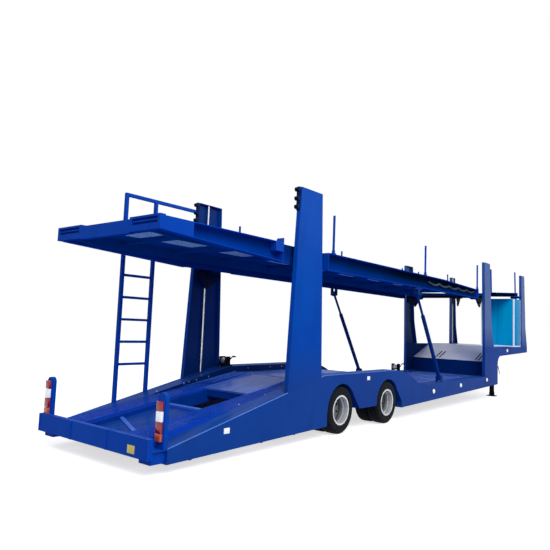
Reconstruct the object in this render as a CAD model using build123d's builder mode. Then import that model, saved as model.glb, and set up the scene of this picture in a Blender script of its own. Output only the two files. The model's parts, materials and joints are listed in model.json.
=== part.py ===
from build123d import *
import math
import os

# Car transporter semi-trailer with two decks and two axles, in millimetres.
# X runs forward, Y to the left and Z up; the origin is on the ground under the middle of the trailer.
# Stations along the trailer are distances ahead of the tail face, and heights are above the ground.

# Overall
length = 16140
half_width = 1250
running = 0.3       # gap at a bearing or a rest
clear = 8           # gap between pieces that move past each other

# Side beams: station and height of each corner
beam_width = 300
beam_rear = 310
beam_rear_low, beam_rear_high = 120, 310
hump_start, hump_end = 3700, 6290
hump_height = 1050
bed_start = 7990
bed_height = 670
neck_length, neck_skirt = 4300, 1140
neck_height = 1500
nose_low = 1310
throat_height, throat_radius = 1225, 260
skirt_rear, skirt_axle, skirt_bed, skirt_neck = 190, 395, 265, 400

# Axles and wheels
axle_stations = (4280, 6010)
tyre_radius, tyre_width = 420, 248
rim_seat, rim_flange, rim_sheet = 247.5, 262, 14
rim_half = 108
dish_back, dish_front = 175, 160
tyre_shoulder = ((310, 2), (350, 0), (400, 14))
tyre_crown_inset, tyre_foot_inset = 34, 6
dual_pitch = 280
wheel_face = 1232
arch_radius, arch_rear, arch_front = 462, 470, 620
arch_middle, arch_shoulder = 0.25, (0.86, 0.5)
hub_radius, hub_cap = 110, 70
drum_radius, drum_width = 180, 190
spindle_end, axle_tube = 45, 65
axle_pad, axle_pad_rise = 140, 10
spring_y, spring_width = 500, 90
spring_half, spring_leaf, spring_leaves = 480, 14, 5
leaf_shortening, hanger_length = 0.16, 60

# Lower deck: height of the driving surface
deck_plate = 30
trough_drop, trough_plate = 90, 8
deck_rear, ramp_rise = 365, 0.148
hump_deck, bed_deck = 930, 640
runway_width = 450
runway_skirt, runway_skirt_front = 8, 1900
pit_rear, pit_front = 1730, 2580
step_ahead, step_height, step_plate = 520, 1070, 10
slope_length = 1195

# Frame under the lower deck
rail_y, rail_width = 500, 120
rail_rear, rail_rear_low, rail_axle_low, rail_bed_low = 300, 215, 640, 340
cross_width, cross_depth, trough_cross_depth = 80, 110, 60
cross_stations = (430, 1000, 1680, 2630, 3500, 5145, 6750)
bed_cross_first, bed_cross_last, bed_cross_count = 410, 60, 4
nose_cross_ahead, nose_cross_behind = 85, (1690, 140)
rail_taper, rail_throat_ahead, rail_throat_drop = 130, 400, 150

# Coupler plate and kingpin
kingpin_behind = 860
coupler_length, coupler_plate = 1450, 12
kingpin_radius, kingpin_length, kingpin_head, kingpin_flange = 25.4, 84, 35.7, 20

# Landing legs
leg_ahead, leg_y, leg_size, leg_wall = 395, 950, 130, 10
leg_sleeve_low, foot_size, foot_plate = 420, 240, 20
leg_shaft_height, leg_shaft = 900, 20

# Tail
tail_depth, tail_rib, tail_rib_width = 90, 12, 16
tail_low, tail_high = 210, 460
tail_rib_y = (1242, 420, -420, -1242)
lamp_top, lamp_width, lamp_depth, lamp_inset = 985, 150, 60, 80
lamp_stations = (250, 90)
tie_inset, tie_edge, tie_drop, tie_rise, tie_plate = 40, 5, 5, 20, 12

# Masts: channels that open inwards, as distances of their corners ahead of a foot or behind the nose
mast_depth, mast_plate = 80, 12
rear_mast_top, mid_mast_top, front_mast_top = 4150, 3930, 3900
rear_mast_foot, rear_mast_corners = 2680, (190, 790, 920)
mid_mast_back, mid_mast_corners, mid_mast_bend = 70, (400, 560, 780), 2200
front_mast_corners, front_mast_bend = (640, 650, 310, 180), 2130
spindle_radius = 18

# Ladder
ladder_stations = (1250, 1870)
ladder_tube, rung_tube, handrail_drop = 56, 42, 150
rung_first, rung_pitch = 1110, 370

# Cabinet on the gooseneck
cabinet_length, cabinet_width, cabinet_gap = 700, 1070, 16
cabinet_behind, cabinet_y, cabinet_corner = 1040, -685, 20

# Upper deck
upper_half, upper_narrow = 1185, 930
upper_floor, floor_plate, upper_curb = 3130, 20, 50
upper_rear, rear_drop, deep_drop = 40, 130, 260
upper_flange, upper_web, upper_web_inset = 10, 10, 135
rear_box_front, rear_wing_front = 600, 2530
bracket_rear, bracket_drop, bracket_rise, bracket_slope = 2330, 100, 120, (60, 20)
mid_wing_rear, mid_bend_behind, mid_wing_behind = 3810, 3070, 590
bearing_width = 50
upper_rail_width, upper_rail_depth, rail_rear_rise = 80, 150, 60
upper_cross_width, upper_cross_depth = 80, 60
window_half, window_length, window_pitch = 340, 700, 1290
first_window, second_window = (550, 900), 1250
end_beam_depth, end_beam_drop, end_beam_rise = 90, 145, 40
end_block_inner, end_block_rise = 565, 65
end_slot_depth, end_slot_width, end_slot_height, end_slot_rise = 50, 520, 84, 37
hinge_ahead = 230
shaft_radius, lug_radius = 40, 85
lug_width, lug_gap, lug_overlap = 60, 20, 40
stanchion_height, stanchion_radius, stanchion_inset = 690, 22, 30
stanchion_stations, stanchion_behind = (4000, 7930), 40

# Carriages
hinge_block_length, hinge_block_height = 330, 360
lift_block_length, lift_block_height = 220, 420
rear_lift, lift_stub = 3130, 40
gusset_half, front_gusset_half, gusset_top, gusset_depth, gusset_plate, gusset_gap = 330, 190, 60, 290, 16, 50
gusset_pin, rear_gusset_gap = 30, 75

# Front deck, tilted up towards the nose: distances ahead of the hinge and above it, before the tilt
front_tilt, front_fall = 3.7, 1
front_floor, front_side_low, front_side_high, front_rail_low = 105, 0, 130, 20
front_start, front_wing_rear = 60, 470
front_wing_behind, front_end_behind, front_lift_behind = 840, 240, 470
front_rail_width, front_cross_width, front_cross_depth = 80, 80, 50
front_cross_ahead, front_cross_inset = (1400, 2300), 40
front_stanchion_insets = (130, 180)

# Struts between the bed and the upper deck
strut_foot_ahead, strut_foot_rise = 910, 100
strut_head_station, strut_head_drop = 7560, 130
strut_y = 1118
barrel_radius, barrel_length, rod_radius, rod_inside = 45, 1770, 28, 1060
eye_radius, pin_radius, eye_slack = 62, 22, 10
strut_ear, ear_length, ear_reach = 12, 120, 45
barrel_root, rod_root = 20, 15

half_length = length / 2
neck_rear = length - neck_length
neck_front = neck_rear + neck_skirt
step_station = neck_rear + step_ahead
slope_front = step_station + slope_length
hinge_station = neck_rear + hinge_ahead
front_wing_front = length - front_wing_behind - hinge_station
front_end = length - front_end_behind - hinge_station
front_lift = length - front_lift_behind - hinge_station
front_stanchions = (front_wing_rear + front_stanchion_insets[0], front_wing_front - front_stanchion_insets[1])
kingpin_station = length - kingpin_behind
cabinet_station = length - cabinet_behind
leg_station = neck_front + leg_ahead
mid_wing_bend = hinge_station - mid_bend_behind
mid_wing_front = hinge_station - mid_wing_behind
strut_foot = (bed_start + strut_foot_ahead, bed_height + strut_foot_rise)
outer = half_width
inner = half_width - beam_width
mast_inner = half_width - mast_depth
web_y = upper_half - upper_web_inset
ramp_end = (hump_deck - deck_rear) / ramp_rise
floor_low = upper_floor - floor_plate
upper_top = upper_floor + upper_curb
upper_rear_low = upper_floor - rear_drop
upper_deep_low = upper_floor - deep_drop
upper_rail_low = floor_low - upper_rail_depth
hinge_height = upper_rail_low
strut_head = (strut_head_station, upper_deep_low - strut_head_drop)
front_rise_least = math.tan(math.radians(front_tilt - front_fall))
cabinet_rear = cabinet_station - cabinet_length / 2
cabinet_top = hinge_height + (cabinet_rear - hinge_station) * front_rise_least - cabinet_gap
ladder_top = rear_mast_top - handrail_drop
sides = (-1, 1)
side_names = ("right", "left")
parts = []


def along(station):
    """X of a station measured ahead of the tail face."""
    return station - half_length


def deck_height(station):
    """Height of the driving surface of the lower deck."""
    if station < ramp_end:
        return deck_rear + ramp_rise * station
    if station < hump_end:
        return hump_deck
    if station < bed_start:
        return hump_deck + (bed_deck - hump_deck) * (station - hump_end) / (bed_start - hump_end)
    return bed_deck


def beam_top(station):
    """Height of the side beam's top behind the hump."""
    rise = (hump_height - beam_rear_high) / (hump_start - beam_rear)
    return min(hump_height, beam_rear_high + rise * (station - beam_rear))


def side_plane(y):
    """Upright plane along the trailer at Y, whose sketches read (X, Z)."""
    return Plane.XZ.offset(-y)


def outline(points, mode=Mode.ADD):
    """Flat face through (station, height) corners, on the current sketch."""
    with BuildLine() as edge:
        Polyline(*[(along(s), z) for s, z in points], close=True)
    make_face(edge.edges(), mode=mode)


def slab(points, y_from, y_to, mode=Mode.ADD):
    """Solid of a side outline, between two distances across the trailer."""
    with BuildSketch(side_plane(y_from)) as face:
        outline(points)
    extrude(face.sketch, amount=y_from - y_to, mode=mode)


def folded(points, thickness):
    """Outline of a folded plate under a line of (station, height) points."""
    return points + [(s, z - thickness) for s, z in reversed(points)]


def block(station, y, height, size, mode=Mode.ADD):
    """Box of size (X, Y, Z) centred on a station and Y, standing on a height."""
    with Locations((along(station), y, height)):
        Box(*size, align=(Align.CENTER, Align.CENTER, Align.MIN), mode=mode)


def cross_bar(station, height, radius, y_from, y_to, mode=Mode.ADD):
    """Round bar across the trailer between two distances from its middle."""
    with BuildSketch(side_plane(y_from)) as disc:
        with Locations((along(station), height)):
            Circle(radius)
    extrude(disc.sketch, amount=y_from - y_to, mode=mode)


def post(station, y, z_from, z_to, radius, mode=Mode.ADD):
    """Round upright bar."""
    with BuildSketch(Plane.XY.offset(z_from)) as disc:
        with Locations((along(station), y)):
            Circle(radius)
    extrude(disc.sketch, amount=z_to - z_from, mode=mode)


def neck_low(station):
    """Underside of the side beam over the tractor."""
    return throat_height + (nose_low - throat_height) * (station - neck_front) / (length - neck_front)


def gusset(station, height, half, y, side):
    """Triangular plate with a pin at its foot, which hangs from an arm beside the deck."""
    top, foot = height - gusset_top, height - gusset_depth
    slab([(station - half, top), (station - half, height), (station + half, height), (station + half, top),
          (station + gusset_pin, foot), (station - gusset_pin, foot)],
         side * y, side * (y + gusset_plate))
    cross_bar(station, foot + 2 * gusset_pin, gusset_pin, side * (y - gusset_plate), side * (y + 2 * gusset_plate))


def finish(builder, name):
    """Names a finished piece and keeps it for writing."""
    builder.part.label = name
    parts.append(builder.part)


def twin(builder, name):
    """The same piece on the other side."""
    with BuildPart() as other:
        add(mirror(builder.part, about=Plane.XZ, mode=Mode.PRIVATE))
    finish(other, name)


# Side beams: boxed fascias whose outline is ramp, hump, well and gooseneck
curve_middle = ((hump_end + bed_start) / 2, (hump_height + bed_height) / 2)
bed_skirt_start = axle_stations[1] + arch_front
with BuildPart() as side_beam:
    with BuildSketch(side_plane(-outer)) as beam_face:
        with BuildLine():
            Polyline((along(beam_rear), beam_rear_high), (along(hump_start), hump_height),
                     (along(hump_end), hump_height))
            TangentArc((along(hump_end), hump_height), (along(curve_middle[0]), curve_middle[1]), tangent=(1, 0))
            TangentArc((along(bed_start), bed_height), (along(curve_middle[0]), curve_middle[1]), tangent=(-1, 0))
            Polyline((along(bed_start), bed_height), (along(neck_rear), bed_height),
                     (along(neck_rear), neck_height), (along(length), neck_height), (along(length), nose_low),
                     (along(neck_front), throat_height), (along(neck_front), skirt_neck),
                     (along(bed_skirt_start), skirt_bed), (along(bed_skirt_start), skirt_axle),
                     (along(axle_stations[0] - arch_rear), skirt_axle),
                     (along(axle_stations[0] - arch_rear), skirt_rear),
                     (along(beam_rear), beam_rear_low), (along(beam_rear), beam_rear_high))
        make_face()
        fillet(beam_face.vertices().sort_by_distance((along(neck_front), throat_height))[0], throat_radius)
        for axle in axle_stations:
            with Locations((along(axle), tyre_radius)):
                Circle(arch_radius, mode=Mode.SUBTRACT)
            outline([(axle - arch_rear, 0), (axle - arch_rear, tyre_radius),
                     (axle, tyre_radius + arch_middle * arch_radius),
                     (axle + arch_shoulder[0] * arch_radius, tyre_radius + arch_shoulder[1] * arch_radius),
                     (axle + arch_front, skirt_axle), (axle + arch_front, 0)], mode=Mode.SUBTRACT)
    extrude(amount=-beam_width)
    slab([(neck_rear, bed_height), (neck_rear, neck_height), (slope_front, neck_height),
          (slope_front, neck_height - deck_plate), (step_station, step_height - deck_plate),
          (step_station, bed_height)], -mast_inner, -inner, mode=Mode.SUBTRACT)
finish(side_beam, "side_beam_right")
twin(side_beam, "side_beam_left")

# Frame: two deep rails under the deck, with cross members welded through to the side beams
coupler_rear = kingpin_station - coupler_length / 2
rail_line = [(rail_rear, rail_rear_low), (rail_rear, deck_height(rail_rear) - deck_plate),
             (ramp_end, hump_deck - deck_plate), (hump_end, hump_deck - deck_plate),
             (bed_start, bed_deck - deck_plate), (step_station, bed_deck - deck_plate),
             (step_station, step_height - deck_plate), (slope_front, neck_height - deck_plate),
             (length, neck_height - deck_plate), (length, nose_low), (coupler_rear, nose_low),
             (neck_front + rail_throat_ahead, throat_height + clear), (neck_front, throat_height - rail_throat_drop),
             (neck_front, skirt_neck), (step_station, rail_bed_low), (bed_start, rail_bed_low),
             (axle_stations[1] + spring_half + rail_taper, rail_axle_low),
             (axle_stations[0] - spring_half - rail_taper, rail_axle_low)]
with BuildPart() as chassis_frame:
    for side in sides:
        slab(rail_line, side * rail_y - rail_width / 2, side * rail_y + rail_width / 2)
    bed_cross_pitch = (neck_rear + bed_cross_last - bed_start - bed_cross_first) / (bed_cross_count - 1)
    bed_cross_stations = [bed_start + bed_cross_first + i * bed_cross_pitch for i in range(bed_cross_count)]
    for station in list(cross_stations) + bed_cross_stations:
        top = min(deck_height(station - cross_width / 2), deck_height(station + cross_width / 2)) - deck_plate
        depth = cross_depth
        if station < pit_rear:
            top += deck_plate - trough_drop - trough_plate
            depth = trough_cross_depth
        block(station, 0, top - depth, (cross_width, 2 * inner, depth))
    for station in [slope_front + nose_cross_ahead] + [length - behind for behind in nose_cross_behind]:
        block(station, 0, nose_low, (cross_width, 2 * inner, neck_height - deck_plate - nose_low))
finish(chassis_frame, "chassis_frame")

# Lower deck plates
with BuildPart() as ramp_runways:
    for side in sides:
        slab(folded([(tail_depth, deck_height(tail_depth)), (ramp_end, hump_deck)], deck_plate),
             side * inner, side * (inner - runway_width))
        slab(folded([(s, deck_height(s) - deck_plate) for s in (tail_depth, runway_skirt_front)],
                    trough_drop + trough_plate - deck_plate), side * inner, side * (inner - runway_skirt))
finish(ramp_runways, "ramp_runways")

trough_half = rail_y - rail_width / 2
with BuildPart() as ramp_trough:
    slab(folded([(s, deck_height(s) - trough_drop) for s in (tail_depth, pit_rear)], trough_plate),
         -trough_half, trough_half)
finish(ramp_trough, "ramp_trough")

hump_half = inner - runway_width
with BuildPart() as lower_deck:
    slab(folded([(pit_front, deck_height(pit_front)), (ramp_end, hump_deck)], deck_plate), -hump_half, hump_half)
    slab(folded([(ramp_end, hump_deck), (hump_end, hump_deck), (bed_start, bed_deck),
                 (step_station - step_plate, bed_deck)], deck_plate), -inner, inner)
finish(lower_deck, "lower_deck")

with BuildPart() as neck_plate:
    slab(folded([(step_station, step_height), (slope_front, neck_height)], deck_plate), -mast_inner, mast_inner)
    slab(folded([(slope_front, neck_height), (length, neck_height)], deck_plate), -inner, inner)
    for low, half in ((bed_deck - deck_plate, inner), (bed_height, mast_inner)):
        block(step_station - step_plate / 2, 0, low, (step_plate, 2 * half, step_height - low))
finish(neck_plate, "gooseneck_deck")

# Coupler plate and kingpin under the nose
coupler_low = nose_low - coupler_plate
with BuildPart() as coupler:
    block(kingpin_station, 0, coupler_low, (coupler_length, 2 * inner, coupler_plate))
    post(kingpin_station, 0, coupler_low - kingpin_length, coupler_low, kingpin_radius)
    post(kingpin_station, 0, coupler_low - kingpin_length, coupler_low - kingpin_length + kingpin_flange,
         kingpin_head)
finish(coupler, "coupler_plate")

# Tail: ribbed cross beam tied to the side beams, with a lamp board at each end
tie_high = beam_rear_high - tie_drop
tie_low = beam_rear_low + tie_rise
lamp_y = half_width - lamp_inset
with BuildPart() as tail_beam:
    slab([(tail_rib, tail_low), (tail_rib, tail_high), (tail_depth, tail_high), (tail_depth, tail_low)],
         -outer, outer)
    for y in tail_rib_y:
        block(tail_rib / 2, y, tail_low, (tail_rib, tail_rib_width, tail_high - tail_low))
    for side in sides:
        for low, inset in ((tie_low, tie_inset), (tie_high - tie_plate, tie_edge)):
            slab([(tail_depth, low), (tail_depth, tie_high), (beam_rear, tie_high), (beam_rear, low)],
                 side * (inner + tie_inset), side * (outer - inset))
    for side, station in zip(sides, lamp_stations):
        with BuildSketch(Plane.YZ.offset(along(station))) as board:
            with Locations((side * lamp_y, tie_high)):
                Rectangle(lamp_width, lamp_top - tie_high - lamp_width / 2, align=(Align.CENTER, Align.MIN))
            with Locations((side * lamp_y, lamp_top - lamp_width / 2)):
                Circle(lamp_width / 2)
        extrude(board.sketch, amount=lamp_depth)
finish(tail_beam, "tail_beam")

# Masts, as (station, height) corners of their outer plates
rear_top_rear, rear_top_front, rear_foot_front = (rear_mast_foot + ahead for ahead in rear_mast_corners)
mid_top_front, mid_bend, mid_foot_front = (neck_rear + ahead for ahead in mid_mast_corners)
front_foot_rear, front_top_rear, front_top_front, front_bend = (length - behind for behind in front_mast_corners)
mast_sets = (
    ("rear", [(rear_mast_foot, beam_top(rear_mast_foot)), (rear_top_rear, rear_mast_top),
              (rear_top_front, rear_mast_top), (rear_foot_front, beam_top(rear_foot_front))]),
    ("mid", [(neck_rear, neck_height), (neck_rear - mid_mast_back, mid_mast_top), (mid_top_front, mid_mast_top),
             (mid_bend, mid_mast_bend), (mid_foot_front, neck_height)]),
    ("front", [(front_foot_rear, neck_height), (front_top_rear, front_mast_top), (front_top_front, front_mast_top),
               (front_bend, front_mast_bend), (length, neck_height)]),
)
for mast_name, corners in mast_sets:
    with BuildPart() as mast:
        with BuildSketch(side_plane(-outer)) as web:
            outline(corners)
        extrude(web.sketch, amount=-mast_depth)
        with BuildSketch(side_plane(-outer + mast_plate)) as pocket:
            outline(corners)
            offset(amount=-mast_plate, kind=Kind.INTERSECTION, mode=Mode.REPLACE)
        extrude(pocket.sketch, amount=-mast_depth, mode=Mode.SUBTRACT)
    finish(mast, f"{mast_name}_mast_right")
    twin(mast, f"{mast_name}_mast_left")

# Front deck frame of reference, tilted about the hinge
tilt = math.radians(front_tilt)
front_plane = Plane(origin=(along(hinge_station), 0, hinge_height), x_dir=(math.cos(tilt), 0, math.sin(tilt)),
                    z_dir=(-math.sin(tilt), 0, math.cos(tilt)))
front_bar_drop = front_rail_low - lift_stub - running
front_lift_station = hinge_station + front_lift * math.cos(tilt) - front_bar_drop * math.sin(tilt)
front_lift_height = hinge_height + front_lift * math.sin(tilt) + front_bar_drop * math.cos(tilt)
rear_lift_height = upper_deep_low - lift_stub - running

# Lift spindles inside the rear and front masts
block_depth = mast_depth - mast_plate
carriage_depth = block_depth - clear
spindle_y = mast_inner + carriage_depth / 2
with BuildPart() as spindles:
    for station, foot, top in ((rear_lift, beam_top(rear_lift + spindle_radius), rear_mast_top),
                               (front_lift_station, neck_height, front_mast_top)):
        for side in sides:
            post(station, side * spindle_y, foot + mast_plate + running, top - mast_plate - running, spindle_radius)
finish(spindles, "lift_spindles")

# Ladder on the left side beam, with a handrail to the rear mast
ladder_y = half_width - ladder_tube / 2
mast_foot_height = beam_top(rear_mast_foot)
mast_lean = (rear_top_rear - rear_mast_foot) / (rear_mast_top - mast_foot_height)
handrail_ends = [rear_mast_foot + mast_lean * (z - mast_foot_height) for z in (ladder_top - ladder_tube, ladder_top)]
rung_count = 1 + int((upper_rear_low - rung_first) / rung_pitch)
with BuildPart() as ladder:
    for station in ladder_stations:
        low, high = station - ladder_tube / 2, station + ladder_tube / 2
        slab([(low, beam_top(low)), (high, beam_top(high)), (high, ladder_top), (low, ladder_top)],
             ladder_y - ladder_tube / 2, ladder_y + ladder_tube / 2)
    for i in range(rung_count):
        block(sum(ladder_stations) / 2, ladder_y, rung_first + i * rung_pitch,
              (ladder_stations[1] - ladder_stations[0], rung_tube, rung_tube))
    slab([(ladder_stations[0], ladder_top - ladder_tube), (handrail_ends[0], ladder_top - ladder_tube),
          (handrail_ends[1], ladder_top), (ladder_stations[0], ladder_top)],
         ladder_y - ladder_tube / 2, ladder_y + ladder_tube / 2)
finish(ladder, "ladder")

# Hinge shaft held between the mid masts by a carriage block in each
gusset_y = upper_narrow + gusset_gap
with BuildPart() as hinge_carriages:
    cross_bar(hinge_station, hinge_height, shaft_radius, -mast_inner, mast_inner)
    for side in sides:
        gusset(hinge_station, hinge_height, gusset_half, gusset_y, side)
        block(hinge_station, side * (mast_inner + block_depth / 2), hinge_height - hinge_block_height / 2,
              (hinge_block_length, block_depth, hinge_block_height))
finish(hinge_carriages, "hinge_carriages")

# Equipment cabinet on the gooseneck
with BuildPart() as cabinet:
    block(cabinet_station, cabinet_y, neck_height, (cabinet_length, cabinet_width, cabinet_top - neck_height))
    fillet(cabinet.edges().filter_by(Axis.Z), cabinet_corner)
finish(cabinet, "cabinet")

# Landing legs under the neck: sleeve, inner leg and foot, with a shaft between the two gearboxes
leg_rear, leg_front = leg_station - leg_size / 2, leg_station + leg_size / 2
with BuildPart() as landing_legs:
    cross_bar(leg_station, leg_shaft_height, leg_shaft, -leg_y, leg_y)
    for side in sides:
        slab([(leg_rear, leg_sleeve_low), (leg_rear, neck_low(leg_rear)), (leg_front, neck_low(leg_front)),
              (leg_front, leg_sleeve_low)], side * leg_y - leg_size / 2, side * leg_y + leg_size / 2)
        block(leg_station, side * leg_y, foot_plate,
              (leg_size - 2 * leg_wall, leg_size - 2 * leg_wall, leg_sleeve_low - foot_plate))
        block(leg_station, side * leg_y, 0, (foot_size, foot_size, foot_plate))
finish(landing_legs, "landing_legs")

# Axles
outer_wheel = wheel_face - tyre_width / 2
dual_middle = outer_wheel - dual_pitch / 2
drum_end = dual_middle - 2 * rim_sheet - drum_width
for index, axle in enumerate(axle_stations, start=1):
    with BuildPart() as axle_beam:
        cross_bar(axle, tyre_radius, axle_tube, clear - drum_end, drum_end - clear)
        cross_bar(axle, tyre_radius, spindle_end, -dual_middle, dual_middle)
        for side in sides:
            block(axle, side * spring_y, tyre_radius, (axle_pad, spring_width, axle_tube + axle_pad_rise))
    finish(axle_beam, f"axle_{index}")

# Leaf springs between the axles and the hangers under the rails
seat = tyre_radius + axle_tube + axle_pad_rise
with BuildPart() as springs:
    for side in sides:
        for axle in axle_stations:
            y_from, y_to = side * spring_y - spring_width / 2, side * spring_y + spring_width / 2
            for leaf in range(spring_leaves):
                reach = spring_half * (1 - leaf_shortening * leaf)
                low = seat + (spring_leaves - 1 - leaf) * spring_leaf
                slab([(axle - reach, low + spring_leaf), (axle + reach, low + spring_leaf),
                      (axle + reach, low), (axle - reach, low)], y_from, y_to)
            top_leaf = seat + spring_leaves * spring_leaf
            for end in (-1, 1):
                block(axle + end * (spring_half - hanger_length / 2), side * spring_y, top_leaf,
                      (hanger_length, spring_width, rail_axle_low - top_leaf))
finish(springs, "suspension")

# Wheels: two tyres and two dished rims on one hub
tyre_half = tyre_width / 2
tyre_profile = ((rim_seat + running, rim_half - tyre_foot_inset),
                *[(r, tyre_half - inset) for r, inset in tyre_shoulder], (tyre_radius, tyre_half - tyre_crown_inset))
rim_barrel = ((-rim_half, rim_seat), (rim_half, rim_seat), (rim_half, rim_flange), (tyre_half - 2, rim_flange),
              (tyre_half - 2, rim_seat - rim_sheet), (-rim_half, rim_seat - rim_sheet))
bore = spindle_end + running
for axle_index, axle in enumerate(axle_stations):
    for side, side_name in zip(sides, side_names):
        origin = (along(axle), 0, tyre_radius)
        wheel_plane = Plane(origin=origin, x_dir=(0, side, 0), z_dir=(side, 0, 0))
        wheel_axis = Axis(origin, (0, 1, 0))
        with BuildPart() as tyres:
            for centre in (outer_wheel, outer_wheel - dual_pitch):
                with BuildSketch(wheel_plane) as section:
                    with BuildLine() as edge:
                        Polyline(*[(centre + w, r) for r, w in tyre_profile],
                                 *[(centre - w, r) for r, w in reversed(tyre_profile)], close=True)
                    make_face(edge.edges())
                revolve(section.sketch, axis=wheel_axis)
        finish(tyres, f"tyres_{axle_index + 1}_{side_name}")
        with BuildPart() as rims:
            with BuildSketch(wheel_plane) as section:
                for centre, face in ((outer_wheel, 1), (outer_wheel - dual_pitch, -1)):
                    with BuildLine() as edge:
                        Polyline(*[(centre + face * w, r) for w, r in rim_barrel], close=True)
                    make_face(edge.edges())
                    with BuildLine() as dish:
                        Polyline((centre - face * rim_half, rim_seat - rim_sheet / 2),
                                 (centre - face * (rim_half - 2 * rim_sheet), rim_seat - rim_sheet / 2),
                                 (dual_middle + face * rim_sheet, dish_front), (dual_middle + face * rim_sheet, bore),
                                 (dual_middle, bore), (dual_middle, dish_back), close=True)
                    make_face(dish.edges())
                with Locations((dual_middle, bore)):
                    Rectangle(hub_cap + rim_sheet, hub_radius - bore, align=(Align.MIN, Align.MIN))
                with Locations((dual_middle + hub_cap, 0)):
                    Rectangle(rim_sheet, hub_radius, align=(Align.MIN, Align.MIN))
                with Locations((dual_middle, bore)):
                    Rectangle(2 * rim_sheet + drum_width, drum_radius - bore, align=(Align.MAX, Align.MIN))
            revolve(section.sketch, axis=wheel_axis)
        finish(rims, f"rims_{axle_index + 1}_{side_name}")

# Upper deck frame: a rail along each side, cross members and hinge lugs
rail_middle = upper_narrow - upper_rail_width / 2
lug_y = upper_narrow - upper_rail_width - lug_gap - lug_width / 2
deck_front = hinge_station - shaft_radius - clear
window_count = 1 + int((deck_front - upper_cross_width - window_length - second_window) / window_pitch)
windows = [first_window] + [(second_window + i * window_pitch, second_window + i * window_pitch + window_length)
                            for i in range(window_count)]
cross_stations_above = [front + upper_cross_width for rear, front in windows]
with BuildPart() as upper_frame:
    for side in sides:
        slab([(upper_rear + end_beam_depth, upper_rail_low + rail_rear_rise), (upper_rear + end_beam_depth, floor_low),
              (deck_front - lug_radius, floor_low), (deck_front - lug_radius, upper_rail_low),
              (rear_box_front, upper_rail_low)], side * upper_narrow, side * (upper_narrow - upper_rail_width))
        slab([(mid_wing_front - lug_overlap, floor_low), (deck_front, floor_low),
              (hinge_station + lug_radius, hinge_height), (hinge_station, hinge_height - lug_radius),
              (mid_wing_front - lug_overlap, upper_rail_low)],
             side * lug_y - lug_width / 2, side * lug_y + lug_width / 2)
        cross_bar(hinge_station, hinge_height, lug_radius, side * lug_y - lug_width / 2,
                  side * lug_y + lug_width / 2)
    for station in cross_stations_above + [mid_wing_front]:
        block(station, 0, floor_low - upper_cross_depth, (upper_cross_width, 2 * web_y, upper_cross_depth))
    cross_bar(hinge_station, hinge_height, shaft_radius + running, -outer, outer, mode=Mode.SUBTRACT)
finish(upper_frame, "upper_frame")

# Upper side beams: channels open outwards, boxed at the rear end, with a bracket behind the rear mast and a
# plain web beside it
rear_low_slope = (upper_rear_low - upper_deep_low) / (rear_wing_front - upper_rear)
bracket_low, bracket_top = upper_floor - bracket_drop, upper_floor + bracket_rise


def rear_low(station):
    """Underside of the upper deck's side behind the rear mast."""
    return upper_rear_low - rear_low_slope * (station - upper_rear)


wings = (
    [(rear_box_front, rear_low(rear_box_front)), (rear_box_front, upper_top), (rear_wing_front, upper_top),
     (rear_wing_front, upper_deep_low)],
    [(mid_wing_rear, upper_deep_low), (mid_wing_rear, upper_top), (mid_wing_bend, upper_top),
     (mid_wing_front, floor_low), (mid_wing_front, upper_deep_low)],
)
with BuildPart() as upper_sides:
    for side in sides:
        slab([(upper_rear + end_beam_depth, rear_low(upper_rear + end_beam_depth)),
              (upper_rear + end_beam_depth, upper_top), (rear_box_front, upper_top),
              (rear_box_front, rear_low(rear_box_front))], side * web_y, side * upper_half)
        for wing in wings:
            slab(wing, side * web_y, side * upper_half)
            with BuildSketch(side_plane(side * (web_y + upper_web))) as cavity:
                outline(wing)
                offset(amount=-upper_flange, kind=Kind.INTERSECTION, mode=Mode.REPLACE)
            extrude(cavity.sketch, amount=-side * upper_web_inset, mode=Mode.SUBTRACT)
        for top, width in ((upper_top, upper_web), (upper_deep_low + upper_flange, bearing_width)):
            slab([(rear_wing_front, upper_deep_low), (rear_wing_front, top), (mid_wing_rear, top),
                  (mid_wing_rear, upper_deep_low)], side * web_y, side * (web_y + width))
        slab([(bracket_rear, bracket_low), (bracket_rear, upper_top), (rear_wing_front - bracket_slope[0], upper_top),
              (rear_wing_front - bracket_slope[1], bracket_top), (rear_wing_front, bracket_top),
              (rear_wing_front, bracket_low)],
             side * (web_y + upper_web), side * upper_half)
finish(upper_sides, "upper_side_beams")

# Upper end beam with a slotted block at each corner
with BuildPart() as end_beam:
    block(upper_rear + end_beam_depth / 2, 0, upper_floor - end_beam_drop,
          (end_beam_depth, 2 * end_block_inner, end_beam_drop + end_beam_rise))
    for side in sides:
        block_middle = side * (end_block_inner + upper_half) / 2
        block(upper_rear + end_beam_depth / 2, block_middle, upper_rear_low,
              (end_beam_depth, upper_half - end_block_inner, rear_drop + end_block_rise))
        block(upper_rear + end_slot_depth / 2, block_middle, upper_floor + end_slot_rise - end_slot_height,
              (end_slot_depth, end_slot_width, end_slot_height), mode=Mode.SUBTRACT)
finish(end_beam, "upper_end_beam")

# Upper floor with a row of mesh windows down the middle
with BuildPart() as upper_floor_plate:
    with BuildSketch(Plane.XY.offset(floor_low)) as floor_face:
        with BuildLine() as edge:
            half_outline = [(upper_rear + end_beam_depth, web_y), (mid_wing_front, web_y),
                            (mid_wing_front, upper_narrow), (deck_front, upper_narrow)]
            Polyline(*[(along(s), y) for s, y in half_outline],
                     *[(along(s), -y) for s, y in reversed(half_outline)], close=True)
        make_face(edge.edges())
        for rear, front in windows:
            with Locations((along((rear + front) / 2), 0)):
                Rectangle(front - rear, 2 * window_half, mode=Mode.SUBTRACT)
    extrude(floor_face.sketch, amount=floor_plate)
finish(upper_floor_plate, "upper_floor")

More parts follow.
